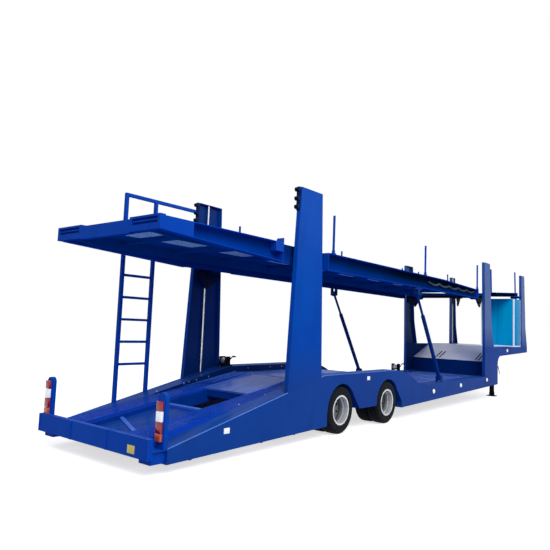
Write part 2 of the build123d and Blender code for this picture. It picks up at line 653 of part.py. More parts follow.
# Stanchions along the upper deck
with BuildPart() as stanchions:
    for side in sides:
        for station in list(stanchion_stations) + [mid_wing_front - stanchion_behind]:
            foot = upper_top
            if station > mid_wing_bend:
                fall = (upper_top - floor_low) / (mid_wing_front - mid_wing_bend)
                foot = upper_top - fall * (station - stanchion_radius - mid_wing_bend)
            post(station, side * (upper_half - stanchion_inset), foot, foot + stanchion_height, stanchion_radius)
finish(stanchions, "upper_stanchions")

# Lift carriages: a block bored round each spindle, with a stub under the deck's web or rail
for name, station, height, stub_y, half, plate_y in (
        ("rear_carriages", rear_lift, rear_lift_height, web_y - upper_web, gusset_half, web_y + rear_gusset_gap),
        ("front_carriages", front_lift_station, front_lift_height, upper_narrow - upper_rail_width,
         front_gusset_half, gusset_y)):
    with BuildPart() as carriages:
        for side in sides:
            cross_bar(station, height, lift_stub, side * stub_y, side * spindle_y)
            gusset(station, height, half, plate_y, side)
            block(station, side * spindle_y, height - lift_block_height / 2,
                  (lift_block_length, carriage_depth, lift_block_height))
            post(station, side * spindle_y, height - lift_block_height, height + lift_block_height,
                 spindle_radius + running, mode=Mode.SUBTRACT)
    finish(carriages, name)

# Front deck: rails with hinge lugs, floor and holed side channels
with BuildPart(front_plane) as front_frame:
    for side in sides:
        with Locations((front_end / 2, side * rail_middle, front_rail_low)):
            Box(front_end, front_rail_width, front_floor - floor_plate - front_rail_low,
                align=(Align.CENTER, Align.CENTER, Align.MIN))
        with Locations(Location((0, side * rail_middle, 0), (90, 0, 0))):
            Cylinder(lug_radius, front_rail_width)
    for distance in (front_wing_rear + front_cross_inset, *front_cross_ahead, front_wing_front - front_cross_inset,
                     front_end - front_cross_inset):
        half = web_y if front_wing_rear < distance < front_wing_front else upper_narrow
        with Locations((distance, 0, front_floor - floor_plate - front_cross_depth)):
            Box(front_cross_width, 2 * half, front_cross_depth, align=(Align.CENTER, Align.CENTER, Align.MIN))
    with Locations(Location((0, 0, 0), (90, 0, 0))):
        Cylinder(shaft_radius + running, 2 * outer, mode=Mode.SUBTRACT)
finish(front_frame, "front_frame")

with BuildPart(front_plane) as front_floor_plate:
    for low, high, half in ((front_start, front_wing_rear, upper_narrow), (front_wing_rear, front_wing_front, web_y),
                            (front_wing_front, front_end, upper_narrow)):
        with Locations(((low + high) / 2, 0, front_floor - floor_plate)):
            Box(high - low, 2 * half, floor_plate, align=(Align.CENTER, Align.CENTER, Align.MIN))
finish(front_floor_plate, "front_floor")

with BuildPart(front_plane) as front_sides:
    wing_length = front_wing_front - front_wing_rear
    for side in sides:
        with Locations(((front_wing_rear + front_wing_front) / 2, side * (web_y + upper_half) / 2, front_side_low)):
            Box(wing_length, upper_web_inset, front_side_high - front_side_low,
                align=(Align.CENTER, Align.CENTER, Align.MIN))
        with Locations(((front_wing_rear + front_wing_front) / 2, side * (web_y + upper_web + upper_half / 2),
                        front_side_low + upper_flange)):
            Box(wing_length - 2 * upper_flange, upper_half, front_side_high - front_side_low - 2 * upper_flange,
                align=(Align.CENTER, Align.CENTER, Align.MIN), mode=Mode.SUBTRACT)
        with Locations(*[(distance, side * (upper_half - stanchion_inset), front_side_high)
                         for distance in front_stanchions]):
            Cylinder(stanchion_radius, stanchion_height, align=(Align.CENTER, Align.CENTER, Align.MIN))
finish(front_sides, "front_side_beams")

# Struts: barrel pinned to the side beam, rod pinned under the upper deck
strut_run = strut_head[0] - strut_foot[0]
strut_rise = strut_head[1] - strut_foot[1]
strut_length = math.hypot(strut_run, strut_rise)
strut_way = (strut_run / strut_length, 0, strut_rise / strut_length)
with BuildPart() as barrels:
    for side in sides:
        foot = Plane(origin=(along(strut_foot[0]), side * strut_y, strut_foot[1]), z_dir=strut_way)
        with BuildSketch(foot.offset(eye_radius - barrel_root)) as tube:
            Circle(barrel_radius)
            Circle(rod_radius + running, mode=Mode.SUBTRACT)
        extrude(tube.sketch, amount=barrel_length - eye_radius + barrel_root)
        cross_bar(strut_foot[0], strut_foot[1], eye_radius, side * strut_y - barrel_radius,
                  side * strut_y + barrel_radius)
        cross_bar(strut_foot[0], strut_foot[1], pin_radius + running, side * strut_y - 2 * barrel_radius,
                  side * strut_y + 2 * barrel_radius, mode=Mode.SUBTRACT)
finish(barrels, "strut_barrels")

with BuildPart() as rods:
    for side in sides:
        head = Plane(origin=(along(strut_head[0]), side * strut_y, strut_head[1]),
                     z_dir=tuple(-c for c in strut_way))
        with BuildSketch(head.offset(eye_radius - rod_root)) as tube:
            Circle(rod_radius)
        extrude(tube.sketch, amount=strut_length - rod_inside - eye_radius + rod_root)
        cross_bar(strut_head[0], strut_head[1], eye_radius, side * strut_y - barrel_radius,
                  side * strut_y + barrel_radius)
        cross_bar(strut_head[0], strut_head[1], pin_radius + eye_slack, side * strut_y - 2 * barrel_radius,
                  side * strut_y + 2 * barrel_radius, mode=Mode.SUBTRACT)
finish(rods, "strut_rods")

# Ears and pins that hold the struts: a pair on each side beam, a pair under each upper channel
ear_y = barrel_radius + clear + strut_ear / 2
with BuildPart() as foot_ears:
    for side in sides:
        cross_bar(strut_foot[0], strut_foot[1], pin_radius, side * strut_y - ear_y, side * strut_y + ear_y)
        for edge in (-ear_y, ear_y):
            block(strut_foot[0], side * strut_y + edge, bed_height,
                  (ear_length, strut_ear, strut_foot[1] - bed_height + ear_reach))
finish(foot_ears, "strut_foot_ears")

with BuildPart() as head_ears:
    for side in sides:
        cross_bar(strut_head[0], strut_head[1], pin_radius, side * strut_y - ear_y, side * strut_y + ear_y)
        for edge in (-ear_y, ear_y):
            block(strut_head[0], side * strut_y + edge, strut_head[1] - ear_reach,
                  (ear_length, strut_ear, strut_head_drop + ear_reach))
finish(head_ears, "strut_head_ears")

os.makedirs("parts", exist_ok=True)
for piece in parts:
    export_step(piece, f"parts/{piece.label}.step")
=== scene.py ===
import json
import math
import bmesh
import bpy
from mathutils import Matrix, Vector


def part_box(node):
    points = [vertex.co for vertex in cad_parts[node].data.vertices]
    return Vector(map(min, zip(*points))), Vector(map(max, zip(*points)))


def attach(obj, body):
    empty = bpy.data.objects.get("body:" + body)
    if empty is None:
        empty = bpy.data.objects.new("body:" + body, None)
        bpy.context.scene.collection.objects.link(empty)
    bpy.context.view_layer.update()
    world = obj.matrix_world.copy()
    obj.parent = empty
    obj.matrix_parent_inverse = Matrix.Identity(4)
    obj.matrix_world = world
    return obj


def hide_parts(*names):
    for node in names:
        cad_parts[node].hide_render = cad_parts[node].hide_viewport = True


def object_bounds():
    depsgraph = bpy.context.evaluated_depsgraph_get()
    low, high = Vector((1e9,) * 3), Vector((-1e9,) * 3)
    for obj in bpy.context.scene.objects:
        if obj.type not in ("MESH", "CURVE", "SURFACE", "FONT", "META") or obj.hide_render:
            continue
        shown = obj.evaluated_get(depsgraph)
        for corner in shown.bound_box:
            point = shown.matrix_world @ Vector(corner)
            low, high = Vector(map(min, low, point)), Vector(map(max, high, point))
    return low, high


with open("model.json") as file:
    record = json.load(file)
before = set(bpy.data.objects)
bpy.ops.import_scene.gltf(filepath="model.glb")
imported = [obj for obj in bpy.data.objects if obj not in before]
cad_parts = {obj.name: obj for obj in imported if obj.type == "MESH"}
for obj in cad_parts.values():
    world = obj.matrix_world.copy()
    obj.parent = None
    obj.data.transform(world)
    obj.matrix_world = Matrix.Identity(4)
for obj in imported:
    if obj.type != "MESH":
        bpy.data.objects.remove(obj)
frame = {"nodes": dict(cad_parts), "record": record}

# Looks of the two-deck car transporter trailer, in metres.
# Stations are distances ahead of the tail face, as in the part's source.

cad_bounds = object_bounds()
rear_x = cad_bounds[0][0]
nodes = frame["nodes"]
sides, side_names = (-1, 1), ("right", "left")
sharp_degrees = 32


def along(station):
    """X of a station."""
    return rear_x + station


def srgb(red, green, blue):
    """Linear colour of an 8-bit screen colour."""
    values = [c / 255 for c in (red, green, blue)]
    return [c / 12.92 if c < 0.04045 else ((c + 0.055) / 1.055) ** 2.4 for c in values] + [1.0]


# Shader maths

class Value:
    """A socket on which sums and products add Math nodes."""

    def __init__(self, finish, socket):
        self.finish = finish
        self.socket = socket

    def math(self, operation, first, second):
        return self.finish.node("ShaderNodeMath", {"operation": operation}, {0: first, 1: second})

    def __add__(self, other):
        return self.math("ADD", self, other)

    def __radd__(self, other):
        return self.math("ADD", other, self)

    def __sub__(self, other):
        return self.math("SUBTRACT", self, other)

    def __rsub__(self, other):
        return self.math("SUBTRACT", other, self)

    def __mul__(self, other):
        return self.math("MULTIPLY", self, other)

    def __rmul__(self, other):
        return self.math("MULTIPLY", other, self)

    def __abs__(self):
        return self.math("ABSOLUTE", self, 0.0)

    def __gt__(self, other):
        return self.math("GREATER_THAN", self, other)

    def ramp(self, low, high):
        """Runs from 0 to 1 as the value goes from low to high."""
        return self.finish.node("ShaderNodeMapRange", {"clamp": True},
                                {"Value": self, "From Min": low, "From Max": high})


class Finish:
    """One procedural material, or a world, built node by node."""

    def __init__(self, name, shelf=bpy.data.materials):
        self.material = shelf.new(name)
        self.material.use_nodes = True
        self.tree = self.material.node_tree
        self.tree.nodes.clear()
        self.place = self.node("ShaderNodeTexCoord", output="Object")

    def node(self, kind, settings=None, inputs=None, output=0):
        """A node of a type, with its settings and the values or links of its sockets."""
        made = self.tree.nodes.new(kind)
        for name, value in (settings or {}).items():
            setattr(made, name, value)
        for name, value in (inputs or {}).items():
            if isinstance(value, Value):
                self.tree.links.new(value.socket, made.inputs[name])
            else:
                made.inputs[name].default_value = value
        return Value(self, made.outputs[output]) if made.outputs else None

    def noise(self, scale, detail=3, stretch=None):
        """Cloudy value between 0 and 1, finer with scale; stretch scales it along X, Y and Z."""
        place = self.place
        if stretch:
            place = self.node("ShaderNodeMapping", None, {"Vector": self.place, "Scale": stretch})
        return self.node("ShaderNodeTexNoise", None, {"Vector": place, "Scale": scale, "Detail": detail}, "Fac")

    def facing(self, low, high):
        """Runs from 0 to 1 as the upward part of a face's normal goes from low to high."""
        return self.axis("Z", True).ramp(low, high)

    def upward(self):
        """1 on faces that look up, 0 on the others."""
        return self.facing(0.6, 0.95)

    def axis(self, letter, normal=False):
        """Position along an axis, or the part of the face's normal along it."""
        source = self.node("ShaderNodeTexCoord", output="Normal") if normal else self.place
        return self.node("ShaderNodeSeparateXYZ", None, {0: source}, letter)

    def blend(self, factor, first, second):
        """Colour between two colours."""
        return self.node("ShaderNodeMix", {"data_type": "RGBA"}, {0: factor, 6: first, 7: second}, 2)

    def bump(self, height, distance, strength=0.5):
        """Normal that follows a height, as deep as a distance."""
        return self.node("ShaderNodeBump", None, {"Height": height, "Distance": distance, "Strength": strength})

    def looked_at(self):
        """1 for what the camera sees straight or in a reflection, 0 for light on its way to the trailer."""
        looking = self.node("ShaderNodeLightPath", output="Is Camera Ray")
        mirrored = self.node("ShaderNodeLightPath", output="Is Glossy Ray")
        return looking.math("MAXIMUM", looking, mirrored)

    def surface(self, **inputs):
        """Closes the material with one shader."""
        named = {name.replace("_", " ").title().replace("Ior", "IOR"): value for name, value in inputs.items()}
        shader = self.node("ShaderNodeBsdfPrincipled", None, named)
        self.node("ShaderNodeOutputMaterial", None, {"Surface": shader})
        return self.material


# Finishes: what the paints share, and the tones that darken them: grime, a pattern's pits, and painted shade in
# channels and on faces turned inward
beam_colour, beam_gloss, foot_rise = srgb(9, 69, 162), 0.13, 0.7
grime_tone, pit_tone, flange_shade_tone, shade_tone = srgb(9, 16, 44), srgb(2, 28, 112), srgb(1, 22, 44), srgb(2, 20, 50)
lozenge_scale, orange_peel_scale, peel_depth = 26.0, 90, 0.003


def paint(name, colour, faded, dust, roughness=0.3, dust_share=0.5, gloss=0.09, plate=False, channel=None,
          inward=0.0, foot=None):
    """Sprayed paint: cloudy in colour, dusty where it looks up, with fine orange peel.

    A plate has a lozenge pattern. A channel has painted shade inside the distance given, for the shadow of its top
    flange, darkest ahead and above.
    Faces that look towards the middle plane carry painted shade, by the inward share. A foot is the lower of two
    heights between which the colour and the gloss leave those of the side beams.
    """
    coat = Finish(name)
    patches = coat.noise(0.9, 4)
    tone = coat.blend(patches.ramp(0.35, 0.7), colour, faded)
    if foot:
        above = coat.axis("Z").ramp(foot, foot + foot_rise)
        tone = coat.blend(above, beam_colour, tone)
        gloss = above * (gloss - beam_gloss) + beam_gloss
    streaks = coat.noise(5, 5, (0.25, 3.0, 1.0))
    dusty = coat.upward() * streaks.ramp(0.25, 0.8) * dust_share
    tone = coat.blend(dusty, tone, dust)
    grime = coat.noise(2.4, 6, (1.0, 1.0, 0.3)).ramp(0.52, 0.8) * 0.22
    tone = coat.blend(grime, tone, grime_tone)
    relief = coat.noise(orange_peel_scale, 2) * 0.3
    if plate:
        lozenge = coat.node("ShaderNodeTexVoronoi", {"feature": "DISTANCE_TO_EDGE"},
                            {"Vector": coat.place, "Scale": lozenge_scale}, "Distance")
        pits = lozenge.ramp(0.04, 0.16) * coat.upward()
        relief = relief + pits
        tone = coat.blend(pits * 0.6, tone, pit_tone)
    shine = coat.facing(-0.6, -0.1) * gloss
    if channel:
        depth = 1.0 - (abs(coat.axis("Y")) > channel)
        # painted shadow of the top flange inside the channel, deeper towards the front and the top
        darkening = coat.axis("X").ramp(along(1.0), along(7.0)) * 0.6 + coat.axis("Z").ramp(2.9, 3.06) * 0.38
        tone = coat.blend(depth * darkening, tone, flange_shade_tone)
        shine = shine * (1.0 - depth)
    if inward:
        # painted shade on faces that look towards the middle plane
        turned_in = (coat.axis("Y", True) * coat.axis("Y")).ramp(-0.3, -1.0)
        tone = coat.blend(turned_in * inward, tone, shade_tone)
    return coat.surface(base_color=tone, roughness=roughness + dusty * 0.35 + grime * 0.6,
                        normal=coat.bump(relief, peel_depth, 0.35), specular_ior_level=0.0,
                        coat_weight=shine, coat_roughness=0.22)


def rubber(name):
    """Tyre rubber, dusty in places."""
    coat = Finish(name)
    dust = coat.noise(14, 5).ramp(0.4, 0.75)
    tone = coat.blend(dust * 0.4, srgb(10, 14, 20), srgb(34, 38, 46))
    return coat.surface(base_color=tone, roughness=0.72 + dust * 0.2, specular_ior_level=0.12,
                        normal=coat.bump(coat.noise(160, 2), 0.001))


def metal(name, colour, tarnish, roughness, metallic=1.0, share=0.6, dish=None):
    """Bare or plated metal with a tarnish that comes and goes.

    A dish is the distance from the middle plane to a wheel's outer face: the wheel is darker from there to its disc.
    """
    coat = Finish(name)
    spots = coat.noise(11, 6).ramp(0.42, 0.72)
    tone = coat.blend(spots * share, colour, tarnish)
    if dish:
        # darker from the wheel's outer face in to its disc
        darkening = abs(coat.axis("Y")).ramp(dish - 0.04, dish - 0.19)
        tone = coat.blend(darkening * 0.85, tone, srgb(52, 60, 66))
    return coat.surface(base_color=tone, metallic=metallic, roughness=roughness + spots * 0.25,
                        normal=coat.bump(coat.noise(120, 3), 0.0008, 0.3))


def lens(name, colour, shade, glow=0.0):
    """Moulded reflector or lamp lens with a fine grid of prisms, and a glow where one is given, which is painted
    light for the light the lens catches.
    """
    coat = Finish(name)
    prisms = coat.node("ShaderNodeTexVoronoi", None, {"Vector": coat.place, "Scale": 130.0}, "Distance")
    tone = coat.blend(coat.noise(30, 2).ramp(0.3, 0.7) * 0.5, colour, shade)
    return coat.surface(base_color=tone, roughness=0.16, coat_weight=0.3, normal=coat.bump(prisms, 0.0015, 0.4),
                        emission_color=tone, emission_strength=glow)


def neck_paint_with_painted_light(name):
    """Gooseneck paint with painted light: pale top faces for a painted reflection, a dark blue wall for painted
    shade.
    """
    coat = Finish(name)
    clouds = coat.noise(0.8, 3).ramp(0.35, 0.7)
    top = coat.blend(clouds, srgb(196, 208, 246), srgb(232, 236, 255))
    # painted light: the pale top faces stand for a reflection, the dark blue wall for shade
    tone = coat.blend(coat.upward(), srgb(2, 44, 112), top)
    return coat.surface(base_color=tone, roughness=0.35 + clouds * 0.2, specular_ior_level=0.0,
                        coat_weight=coat.upward() * 0.55, coat_roughness=0.3,
                        normal=coat.bump(coat.noise(60, 3), 0.002, 0.3))


def cabinet_enamel(name):
    """Sky-blue enamel with faint runs down the panels, and painted shade on the faces that look sideways."""
    coat = Finish(name)
    runs = coat.noise(6, 4, (1.0, 1.0, 0.12)).ramp(0.4, 0.75)
    tone = coat.blend(runs * 0.45, srgb(0, 198, 255), srgb(0, 176, 250))
    # painted shade on the faces that look sideways
    tone = coat.blend(abs(coat.axis("Y", True)) * 0.5, tone, srgb(0, 104, 176))
    return coat.surface(base_color=tone, roughness=0.3 + runs * 0.12, specular_ior_level=0.02,
                        normal=coat.bump(coat.noise(70, 2), 0.001, 0.3))


blue = paint("blue_paint", srgb(2, 74, 190), srgb(8, 82, 200), srgb(72, 120, 212))
beam_blue = paint("blue_beam_paint", srgb(6, 66, 158), srgb(14, 74, 168), srgb(72, 112, 200), gloss=beam_gloss,
                  inward=0.75)
mast_blue = paint("blue_mast_paint", srgb(2, 78, 188), srgb(4, 86, 196), srgb(72, 120, 212), gloss=0.07,
                  inward=0.6, foot=0.9)
strut_blue = paint("blue_strut_paint", srgb(4, 52, 136), srgb(8, 60, 146), srgb(56, 92, 170), inward=0.4)
# lighter blue: the painted highlight along the side beams' top edges
edge_highlight_blue = paint("blue_edge_highlight_paint", srgb(70, 128, 232), srgb(110, 160, 244), srgb(150, 186, 250))
glossy_blue = paint("blue_glossy_mast_paint", srgb(16, 80, 160), srgb(26, 88, 170), srgb(72, 120, 212),
                    gloss=0.5, inward=0.7, foot=1.4)
deep_blue = paint("blue_frame_paint", srgb(2, 58, 160), srgb(6, 66, 172), srgb(56, 104, 184))
under_blue = paint("blue_upper_frame_paint", srgb(2, 74, 158), srgb(6, 82, 168), srgb(56, 104, 184))
runway_blue = paint("blue_runway_paint", srgb(12, 72, 204), srgb(20, 82, 214), srgb(72, 116, 224),
                    roughness=0.42, dust_share=0.45, gloss=0.05, plate=True)
deck_blue = paint("blue_deck_paint", srgb(40, 88, 196), srgb(58, 104, 208), srgb(116, 146, 224), roughness=0.42,
                  dust_share=0.8, gloss=0.26)
tooth_blue = paint("blue_tooth_paint", srgb(52, 112, 232), srgb(70, 128, 240), srgb(120, 160, 240))
neck_blue_painted_light = neck_paint_with_painted_light("neck_plate_painted_light")
channel_blue = paint("blue_channel_paint", srgb(2, 74, 190), srgb(8, 82, 200), srgb(72, 120, 212), channel=1.068)
navy = paint("navy_bracket_paint", srgb(4, 24, 62), srgb(8, 30, 72), srgb(40, 62, 120))
black = paint("black_chassis_paint", srgb(14, 15, 18), srgb(20, 21, 24), srgb(48, 48, 50), roughness=0.5)
hose_grey = paint("grey_hose_skin", srgb(70, 88, 104), srgb(84, 100, 116), srgb(110, 120, 130))
enamel = cabinet_enamel("sky_blue_enamel")
plain_steel = metal("worn_plate_steel", srgb(140, 136, 130), srgb(86, 70, 56), 0.42)
bright_steel = metal("polished_rod_steel", srgb(214, 216, 220), srgb(150, 152, 158), 0.16, share=0.3)
mesh_zinc = metal("galvanised_mesh", srgb(128, 164, 214), srgb(92, 124, 184), 0.55, 0.2)
rope_zinc = metal("galvanised_rope", srgb(190, 198, 214), srgb(130, 142, 170), 0.45, 0.6)
wheel_silver = metal("silver_wheel_paint", srgb(236, 238, 242), srgb(186, 188, 194), 0.3, 0.35, 0.4,
                     dish=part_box("rims_1_left")[1][1])
tyre_rubber = rubber("tyre_rubber")
# near black: painted shade seen in slots and hand holes
painted_slot_shade = metal("shadowed_slot", srgb(7, 9, 18), srgb(3, 4, 9), 0.85, 0.0)
red_lens = lens("red_lens", srgb(190, 16, 34), srgb(140, 8, 26))
amber_lens = lens("amber_lens", srgb(226, 96, 48), srgb(200, 72, 34))
# the white lens glows a little: painted light on the tail lamp, the side tags and markers, and the cabinet's white
# strips and lip
white_lens_painted_glow = lens("white_lens_painted_glow", srgb(248, 250, 252), srgb(226, 232, 240), 0.3)
plate_yellow = lens("yellow_plate", srgb(236, 214, 60), srgb(222, 190, 40))

by_slot = {"blue_paint": blue, "sky_blue_paint": enamel, "black_paint": black, "plain_steel": plain_steel,
           "bright_steel": bright_steel, "wheel_steel": wheel_silver, "tyre_rubber": tyre_rubber}
repainted = {"ramp_runways": runway_blue, "lower_deck": deck_blue, "gooseneck_deck": neck_blue_painted_light}
for finish, names in ((deep_blue, ("ramp_trough", "chassis_frame")),
                      (beam_blue, ("side_beam_left", "side_beam_right")),
                      (strut_blue, ("strut_barrels", "strut_rods", "strut_head_ears", "strut_foot_ears")),
                      (mast_blue, ("rear_mast_left", "rear_mast_right")),
                      (glossy_blue, ("mid_mast_left", "mid_mast_right", "front_mast_left", "front_mast_right")),
                      (under_blue, ("upper_floor", "upper_frame", "front_floor", "front_frame")),
                      (navy, ("hinge_carriages", "rear_carriages", "front_carriages")),
                      (channel_blue, ("upper_side_beams", "front_side_beams"))):
    repainted.update(dict.fromkeys(names, finish))
for part in frame["record"]["subparts"]:
    skin = nodes[part["node"]].data
    skin.materials.clear()
    skin.materials.append(repainted.get(part["node"], by_slot[part["material_slot"]]))


# Shapes

def cuboid(mesh, centre, size, turn=None, edge=0.0):
    """Box turned about its centre, with its edges taken off where an edge is given."""
    place = Matrix.Translation(centre) @ (turn or Matrix.Identity(4)) @ Matrix.Diagonal((*size, 1.0))
    corners = bmesh.ops.create_cube(mesh, size=1.0, matrix=place)["verts"]
    if edge:
        edges = list({e for corner in corners for e in corner.link_edges})
        bmesh.ops.bevel(mesh, geom=edges, offset=edge, segments=2, profile=0.5, affect="EDGES", material=-1)


def rod(mesh, start, end, radius, sides_round=12, tip=None):
    """Round bar between two points, tapered to a tip radius if one is given."""
    run = Vector(end) - Vector(start)
    turn = run.to_track_quat("Z", "Y").to_matrix().to_4x4()
    bmesh.ops.create_cone(mesh, cap_ends=True, segments=sides_round, radius1=radius,
                          radius2=radius if tip is None else tip, depth=run.length,
                          matrix=Matrix.Translation((Vector(start) + Vector(end)) / 2) @ turn)


def revolve(mesh, profile, centre, steps):
    """Closed ring whose section is (distance along Y, radius) points, about an axle at centre."""
    corners = [mesh.verts.new(centre + Vector((0.0, w, r))) for w, r in profile]
    loop = [mesh.edges.new((corners[i - 1], corners[i])) for i in range(len(corners))]
    bmesh.ops.spin(mesh, geom=loop + corners, cent=centre, axis=(0.0, 1.0, 0.0), angle=math.tau, steps=steps,
                   use_merge=True)


def piece(mesh, name, material, body):
    """Makes an object of a mesh, which rides on a body."""
    bmesh.ops.recalc_face_normals(mesh, faces=mesh.faces)
    data = bpy.data.meshes.new(name)
    mesh.to_mesh(data)
    mesh.free()
    data.materials.append(material)
    data.shade_smooth()
    data.set_sharp_from_angle(angle=math.radians(sharp_degrees))
    made = bpy.data.objects.new(name, data)
    bpy.context.scene.collection.objects.link(made)
    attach(made, body)
    return made


# Places read from the frame, and the few of the part's sizes that its boxes don't give
half_width = -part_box("side_beam_right")[0][1]
runway_low, runway_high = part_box("ramp_runways")
deck_plate, runway_width, bed_deck = 0.03, 0.45, 0.64
inner = runway_high[1]
ramp_rear, ramp_front = runway_low[0], runway_high[0]
ramp_foot = runway_low[2] + deck_plate
hump_deck = runway_high[2]
ramp_slope = (hump_deck - ramp_foot) / (ramp_front - ramp_rear)
ramp_angle = math.atan(ramp_slope)
ramp_turn = Matrix.Rotation(-ramp_angle, 4, "Y")
beam_rear, beam_rear_high, hump_start, hump_end, hump_high = 0.31, 0.31, 3.7, 6.29, 1.05


def ramp_at(x):
    """Height of the ramp's driving surface."""
    return min(hump_deck, ramp_foot + ramp_slope * (x - ramp_rear))


def beam_top_at(x):
    """Height of a side beam's top edge up to the end of the hump."""
    rise = (hump_high - beam_rear_high) / (hump_start - beam_rear)
    return min(hump_high, beam_rear_high + rise * (x - along(beam_rear)))


# Ramp: rows of pressed teeth, long ribs and kerbs along the runways, bars over the trough
tooth_size = (0.044, 0.013, 0.009)
row_pitch, row_start, row_end = 0.074, 0.08, 0.1
column_count, column_pitch, column_start = 5, 0.078, 0.05
mesh = bmesh.new()
for row in range(int((ramp_front - ramp_rear - row_end) / row_pitch)):
    x = ramp_rear + row_start + row * row_pitch
    stagger = column_pitch / 2 if row % 2 else 0.0
    for side in sides:
        for column in range(column_count):
            y = side * (inner - column_start - column * column_pitch - stagger)
            cuboid(mesh, (x, y, ramp_at(x) + tooth_size[2] / 2), tooth_size, ramp_turn)
piece(mesh, "runway_teeth", tooth_blue, "chassis")


def ramp_rib(mesh, rear, y, width, height):
    """Rib that stands on the ramp, from a place up to the hump."""
    middle = (rear + ramp_front) / 2
    cuboid(mesh, (middle, y, ramp_at(middle) + height / 2),
           ((ramp_front - rear) / math.cos(ramp_angle), width, height), ramp_turn, 0.004)


rib_start, rib_width, rib_height = along(1.75), 0.024, 0.016
kerb_inset, kerb_width, kerb_height = 0.012, 0.02, 0.024
mesh = bmesh.new()
for side in sides:
    for offset in (0.06, 0.155, 0.25, 0.42):
        ramp_rib(mesh, rib_start, side * (inner - offset), rib_width, rib_height)
    for y in (inner - kerb_inset, inner - runway_width + kerb_inset):
        ramp_rib(mesh, ramp_rear, side * y, kerb_width, kerb_height)
piece(mesh, "runway_ribs", tooth_blue, "chassis")

trough_width = 2 * (inner - runway_width)
bar_width, bar_depth, bar_sink = 0.06, 0.04, 0.03
mesh = bmesh.new()
for station, skew in ((0.66, 0.44), (1.69, 0.0)):
    x = along(station)
    cuboid(mesh, (x, 0, ramp_at(x) - bar_sink), (bar_width, Vector((skew, trough_width)).length, bar_depth),
           ramp_turn @ Matrix.Rotation(-math.atan2(skew, trough_width), 4, "Z"), 0.005)
piece(mesh, "trough_bars", tooth_blue, "chassis")


# Deck plates: weld seams across and along, and slots for straps drawn as dark plates of painted shade
seam_radius, seam_y = 0.006, 0.5
mesh = bmesh.new()
for height, stations in ((hump_deck, (3.83, 4.55, 5.4, 6.25)), (bed_deck, (8.02, 9.2, 10.4, 11.6))):
    for station in stations:
        rod(mesh, (along(station), -inner, height), (along(station), inner, height), seam_radius, 6)
for side in sides:
    for start, end, height in ((3.83, 6.27, hump_deck), (8.0, 12.15, bed_deck)):
        rod(mesh, (along(start), side * seam_y, height), (along(end), side * seam_y, height), seam_radius, 6)
piece(mesh, "deck_seams", blue, "chassis")

slot_size = (0.15, 0.034, 0.004)
mesh = bmesh.new()
for stations, height, rows in (((4.15, 4.95, 5.8), hump_deck, (0.32, 0.42, 0.78)),
                               ((8.3, 8.75, 9.55, 10.1, 10.85, 11.45), bed_deck, (0.3, 0.4, 0.72, 0.82))):
    for station in stations:
        for y in rows:
            for side in sides:
                cuboid(mesh, (along(station), side * y, height), slot_size)
piece(mesh, "strap_slots", painted_slot_shade, "chassis")


# Gooseneck: two pairs of slots in the sloped plate, drawn as black bands of painted shade
neck_low, neck_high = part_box("gooseneck_deck")
step_x, step_high, slope_front = neck_low[0] + 0.01, 1.07, along(13.555)
neck_slope = math.atan((neck_high[2] - step_high) / (slope_front - step_x))
neck_turn = Matrix.Rotation(-neck_slope, 4, "Y")
band_start, band_reach, band_width, band_thickness, band_rise = 0.08, 0.52, 0.032, 0.008, 0.002
ahead = band_start + band_reach / 2
mesh = bmesh.new()
for y in (-0.86, -0.76, 0.35, 0.47):
    cuboid(mesh, (step_x + ahead, y, step_high + ahead * math.tan(neck_slope) + band_rise),
           (band_reach / math.cos(neck_slope), band_width, band_thickness), neck_turn)
piece(mesh, "neck_slots", painted_slot_shade, "chassis")


# Side beams: studs on the inner lip
stud_stations = (1.9, 2.5, 2.62, 2.8, 3.1, 4.2, 4.9, 5.3, 5.75, 9.0, 9.9, 10.8, 11.5)
stud_radius, stud_root, stud_reach, stud_over_hump, stud_over_bed = 0.011, 0.004, 0.012, 0.07, 0.015
mesh = bmesh.new()
for side in sides:
    for station in stud_stations:
        x = along(station)
        z = ramp_at(x) + stud_over_hump if station < hump_end else bed_deck + stud_over_bed
        rod(mesh, (x, side * (inner + stud_root), z), (x, side * (inner - stud_reach), z), stud_radius, 8)
piece(mesh, "strap_studs", rope_zinc, "chassis")

# Side beams: a painted highlight along the top outer edge, where light catches it, apart from the rear masts' feet
edge_radius, edge_inset = 0.007, 0.002
mast_low, mast_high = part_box("rear_mast_right")
mesh = bmesh.new()
for rear, front in ((along(beam_rear), mast_low[0]), (mast_high[0], along(hump_start)),
                    (along(hump_start), along(hump_end))):
    for side in sides:
        y = side * (half_width - edge_inset)
        rod(mesh, (rear, y, beam_top_at(rear)), (front, y, beam_top_at(front)), edge_radius, 8)
piece(mesh, "beam_edge_highlights", edge_highlight_blue, "chassis")

# Side beams: white tags and marker lamps outside, which glow a little as painted light, with dark bases, and dark
# marks along the lower edge
tag_places = ((1.34, 0.41, 0.11, 0.075), (5.2, 0.94, 0.10, 0.07))
marker_places = ((8.26, 0.50), (9.96, 0.54), (11.97, 0.58), (13.88, 1.39))
tag_thickness, lamp_depth, lamp_radius, lamp_tip = 0.006, 0.016, 0.056, 0.046
base_depth, base_radius, mark_size, mark_inset = 0.008, 0.062, (0.05, 0.012, 0.03), 0.01
mark_foot, mark_climb = 0.118, 0.0203
mesh = bmesh.new()
for side in sides:
    for station, height, width, tall in tag_places:
        cuboid(mesh, (along(station), side * (half_width + tag_thickness / 2), height), (width, tag_thickness, tall),
               edge=0.0015)
    for station, height in marker_places:
        face = side * (half_width + 0.006)
        rod(mesh, (along(station), face, height), (along(station), face + side * lamp_depth, height), lamp_radius,
            20, lamp_tip)
piece(mesh, "side_tags", white_lens_painted_glow, "chassis")

